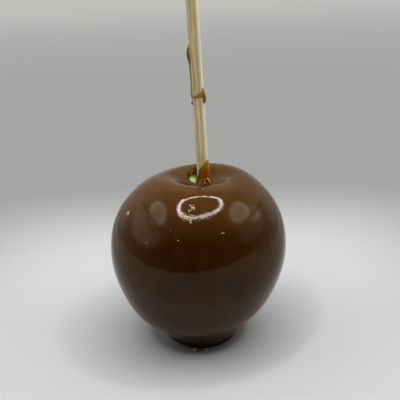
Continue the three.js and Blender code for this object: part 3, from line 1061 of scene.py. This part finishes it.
def floor_finish():
    finish = Finish("pale_floor", 0.7, ior=1.5, specular=0.1)
    where = finish.split(finish.place)
    x, y = where["X"], where["Y"]
    # Pale round the part, and darker with painted shade further off, with the same edge on all four sides.
    fourth = [finish.maths("POWER", finish.maths("ABSOLUTE", side), 4.0) for side in (x, y)]
    away = finish.maths("POWER", finish.maths("ADD", *fourth), 0.25)
    pale_to, shade_at = FLOOR_PALE_TO / FLOOR_RAMP, FLOOR_SHADE_AT / FLOOR_RAMP
    stops = [(0.0, FLOOR_NEAR), (pale_to, FLOOR_NEAR), (shade_at, FLOOR_PAINTED_SHADE)]
    tone = finish.ramp(finish.maths("DIVIDE", away, FLOOR_RAMP), stops)
    tone = finish.mix(finish.span(y, *FRONT_SPAN, FLOOR_PALENESS, 0.0), tone, FLOOR_NEAR)
    slope = finish.maths("MULTIPLY", finish.maths("ABSOLUTE", x), SIDE_SLOPE)
    beside = finish.span(finish.maths("SUBTRACT", y, slope), *SIDE_SPAN, 1.0, 0.0)
    nearby = finish.span(away, *SIDE_END, FLOOR_PALENESS, 0.0)
    tone = finish.mix(finish.maths("MULTIPLY", beside, nearby), tone, FLOOR_NEAR)
    finish.colour(finish.mix(finish.span(away, *FLOOR_FAR_SHADE_SPAN), tone, FLOOR_FAR_SHADE))
    return finish.material


def floor():
    material = floor_finish()
    for name, corners in FLOOR:
        bm = bmesh.new()
        bm.faces.new([bm.verts.new((x, y, 0)) for x, y in corners])
        mesh = bpy.data.meshes.new(name)
        bm.to_mesh(mesh)
        bm.free()
        mesh.materials.append(material)
        sheet = bpy.data.objects.new(name, mesh)
        bpy.context.scene.collection.objects.link(sheet)
        sheet.visible_glossy = sheet.visible_diffuse = name == "pale_floor"


# The studio is a light tent: directions are (right, back, up).
TENT_BRIGHTNESS = 0.44
TENT_COLOUR = (1.0, 0.99, 0.96, 1)
# Past the floor's far edge the camera sees the cloth plain and pale.
BACKDROP = 0.31
# The tent is open at the front, so it is dark there, and its walls glow softly: spans of the
# direction's back part, and the light at their ends.
WALLS = (
    (-0.56, -0.26, 0.03, 0.5), (-0.3, 0.35, 0.0, 0.25), (0.42, 0.60, 0.0, 0.4), (0.68, 0.88, 0.0, -0.25),
)
CEILING = (0.5, 0.95, 0.0, 0.3)
# Seen from the part, the ceiling is flat and one unit up: a ring lamp hangs in it, and windows of
# thinner cloth, each with its middle, its half width and half length, its turn, its glow, and
# how much darker it is inside its rim.
RING_MIDDLE = (0.079, -0.217)
RING_REACH = (0.52, 0.338)
RING_TURN = 19.0
RING_BAND = 0.045
RING_GLOW = 36.0
WINDOWS = (
    ((-1.07, -0.02), (0.31, 0.43), 14.0, 3.4, 1.2), ((-2.9, -0.1), (2.3, 1.9), 19.0, 1.3, 0.0),
    ((1.23, 0.03), (0.33, 0.53), -37.0, 3.6, 1.1), ((2.08, 0.6), (0.42, 0.8), -37.0, 1.8, 0.0),
    ((2.7, 0.1), (1.9, 1.7), -37.0, 0.5, 0.0),
)
# Shares of a window's reach: where it ends, and where it starts to fade with a rim and without.
# Inside its rim it gets darker between two more.
WINDOW_END = 1.12
RIMMED_FADE = 0.82
PLAIN_FADE = 0.4
RIM_SPAN = (0.45, 0.8)
# The lamp and the windows are only drawn above this height of the direction.
HORIZON = 0.02
# A seam of the cloth crosses the light of each side: its two ends, as azimuths from the front to
# the right and elevations, its width in degrees, and how dark it is.
SEAMS = (((-121, 27), (-56, 38)), ((128, 16), (80, 34)))
SEAM_WIDTH = 1.3
SEAM_DARK = 0.65
# It fades between these shares of its width, and of half its length.
SEAM_SIDE = (0.3, 1.5)
SEAM_END = (1.15, 0.85)


def towards(azimuth, elevation):
    """A direction from an azimuth from the front to the right, and an elevation."""
    return direction(azimuth - 90, elevation)


def studio():
    world = bpy.data.worlds.new("light_tent")
    bpy.context.scene.world = world
    tent = Nodes(world)
    maths, span = tent.maths, tent.span
    output = tent.node("ShaderNodeOutputWorld")
    background = tent.node("ShaderNodeBackground")
    tent.put(background.outputs["Background"], output.inputs["Surface"])
    looking = tent.node("ShaderNodeTexCoord").outputs["Generated"]
    x, y, z = tent.split(looking)
    above = maths("GREATER_THAN", z, HORIZON)
    east, north = maths("DIVIDE", x, z), maths("DIVIDE", y, z)

    def distance(middle, reach, turn):
        """How far out of a turned oval of the ceiling a direction is: one on its line."""
        cosine, sine = math.cos(math.radians(turn)), math.sin(math.radians(turn))
        right, back = maths("SUBTRACT", east, middle[0]), maths("SUBTRACT", north, middle[1])
        along = maths("ADD", maths("MULTIPLY", right, cosine), maths("MULTIPLY", back, sine))
        aside = maths("SUBTRACT", maths("MULTIPLY", back, cosine), maths("MULTIPLY", right, sine))
        parts = [maths("DIVIDE", side, half) for side, half in zip((along, aside), reach)]
        return maths("SQRT", maths("ADD", *(maths("POWER", part, 2.0) for part in parts)))

    def seam_light(from_here, to_here):
        """The share of the light that a seam lets through."""
        one, other = towards(*from_here), towards(*to_here)
        halfway = (one + other).normalized()
        half = math.degrees(halfway.angle(other))
        ends = (math.cos(math.radians(share * half)) for share in SEAM_END)
        along = span(tent.with_vector("DOT_PRODUCT", looking, halfway), *ends)
        across = one.cross(other).normalized()
        off_seam = maths("ABSOLUTE", tent.with_vector("DOT_PRODUCT", looking, across))
        sides = (share * math.sin(math.radians(SEAM_WIDTH)) for share in SEAM_SIDE)
        dark = maths("MULTIPLY", along, span(off_seam, *sides, SEAM_DARK, 0.0))
        return maths("SUBTRACT", 1.0, dark)

    cloth = span(z, *CEILING)
    for wall in WALLS:
        cloth = maths("ADD", cloth, span(y, *wall))
    for middle, reach, turn, glow, rim in WINDOWS:
        out = distance(middle, reach, turn)
        window = span(out, RIMMED_FADE if rim else PLAIN_FADE, WINDOW_END, glow, 0.0)
        if rim:
            window = maths("SUBTRACT", window, span(out, *RIM_SPAN, rim, 0.0))
        cloth = maths("ADD", cloth, maths("MULTIPLY", above, window))
    for ends in SEAMS:
        cloth = maths("MULTIPLY", cloth, seam_light(*ends))
    off_ring = maths("ABSOLUTE", maths("SUBTRACT", distance(RING_MIDDLE, RING_REACH, RING_TURN), 1.0))
    ring = maths("MULTIPLY", above, span(off_ring, RING_BAND, 2 * RING_BAND, RING_GLOW, 0.0))
    light = maths("MULTIPLY", maths("ADD", ring, cloth), TENT_BRIGHTNESS)
    seen = tent.node("ShaderNodeLightPath").outputs["Is Camera Ray"]
    hidden = maths("MULTIPLY", light, maths("SUBTRACT", 1.0, seen))
    tent.put(maths("ADD", hidden, maths("MULTIPLY", seen, BACKDROP)), background.inputs["Strength"])
    tent.put(TENT_COLOUR, background.inputs["Color"])
    view = bpy.context.scene.view_settings
    view.view_transform = "Standard"
    view.look = "High Contrast"


# ---------------------------------------------------------------- camera

CAMERA_PLACE = Vector((1.436, -256.18, 170.30)) * MM
CAMERA_PITCH = math.radians(21.62)
CAMERA_ROLL = math.radians(2.1)
SENSOR_WIDTH = 36
LENS = 54


def camera():
    data = bpy.data.cameras.new("camera")
    data.sensor_width = SENSOR_WIDTH
    data.lens = LENS
    eye = bpy.data.objects.new("camera", data)
    bpy.context.scene.collection.objects.link(eye)
    tilt = Matrix.Rotation(math.pi / 2 - CAMERA_PITCH, 4, "X")
    roll = Matrix.Rotation(-CAMERA_ROLL, 4, "Z")
    eye.matrix_world = Matrix.Translation(CAMERA_PLACE) @ tilt @ roll
    bpy.context.scene.camera = eye


camera()
floor()
studio()
coat_piece = coat()
apple()
stick()
drips()
collar()
bubbles()
glint_strands_and_beads()
folds()
flakes(coat_piece)
